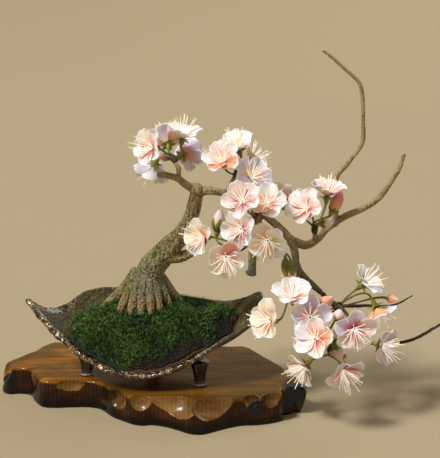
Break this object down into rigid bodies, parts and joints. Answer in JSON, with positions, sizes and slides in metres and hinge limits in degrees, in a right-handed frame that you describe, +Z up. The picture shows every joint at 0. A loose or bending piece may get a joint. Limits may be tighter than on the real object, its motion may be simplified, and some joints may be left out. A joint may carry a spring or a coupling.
{
  "type": "cherry blossom bonsai",
  "caption": "Leaning cherry bonsai with pale pink blossom on drooping branches, rooted in moss in a curved footed tray that stands on a polished wooden slab.",
  "frame": {"origin": "middle of the wooden slab's flat underside", "axes": "+Z up, -Y the front of the tray, +X the side the branches reach to"},
  "size_m": [0.3287, 0.1431, 0.2487],
  "materials": {
    "lacquered_wood": "clear gloss lacquer over figured amber wood, edge carved and stained dark",
    "dark_glaze": "near-black gloss glaze outside, rough streaked brown inside, pitted pale rim",
    "soil": "dry and crumbly",
    "moss": "short soft pile",
    "bark": "rough furrowed bark",
    "petal": "soft and matt, pale pink with warmer and darker middles",
    "bud": "soft satin",
    "stalk": "soft satin green"
  },
  "bodies": {
    "root": {"display_slab": "lacquered_wood", "tray": "dark_glaze", "soil": "soil", "moss": "moss", "tree": "bark", "bloom_01": "petal", "bloom_02": "petal", "bloom_03": "petal", "bloom_04": "petal", "bloom_05": "petal", "bloom_06": "petal", "bloom_07": "petal", "bloom_08": "petal", "bloom_09": "petal", "bloom_10": "petal", "bloom_11": "petal", "bloom_12": "petal", "bloom_13": "petal", "bloom_14": "petal", "bloom_15": "petal", "bloom_18": "petal", "bloom_19": "petal", "bloom_20": "petal", "bloom_21": "petal", "bloom_22": "petal", "bloom_23": "petal", "bloom_24": "petal", "bloom_25": "petal", "bloom_26": "petal", "bloom_27": "petal", "bloom_28": "petal", "bloom_29": "petal", "bloom_30": "petal", "bud_01": "bud", "bud_02": "bud", "bud_03": "bud", "bud_04": "bud", "bud_05": "bud", "bud_06": "bud", "bud_07": "bud", "bud_08": "bud", "bud_09": "bud", "bud_10": "bud", "bud_11": "bud", "bud_12": "bud", "stalks_left": "stalk", "stalks_upper": "stalk", "stalks_middle": "stalk", "stalks_front": "stalk", "stalks_right": "stalk", "stalks_fork": "stalk", "stalks_cluster": "stalk", "stalks_low": "stalk"}
  },
  "joints": []
}
